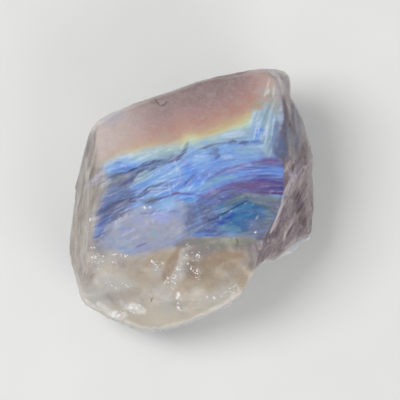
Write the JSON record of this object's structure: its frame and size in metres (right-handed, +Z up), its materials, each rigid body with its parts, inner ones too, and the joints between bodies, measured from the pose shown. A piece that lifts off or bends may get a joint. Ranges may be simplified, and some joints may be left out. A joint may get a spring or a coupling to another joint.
{
  "type": "rough rainbow moonstone",
  "caption": "Loose rough piece of rainbow moonstone, broken on all sides, with a stepped blue-flashing cleavage face and a flat cleavage base.",
  "frame": {"origin": "centre of the stone's footprint, on the flat cleavage face that it lies on", "axes": "+Z up, out of the face with the blue flash; +Y along the longest extent, from the glassy broken end towards the frosted end; +X across the face, towards the splintery flank"},
  "size_m": [0.0198, 0.0212, 0.0098],
  "materials": {
    "feldspar": "milky translucent feldspar, frosted on the upper face, silky with blue and rainbow flash on the stepped face, glassy where freshly broken"
  },
  "bodies": {
    "root": {"moonstone": "feldspar"}
  },
  "joints": []
}
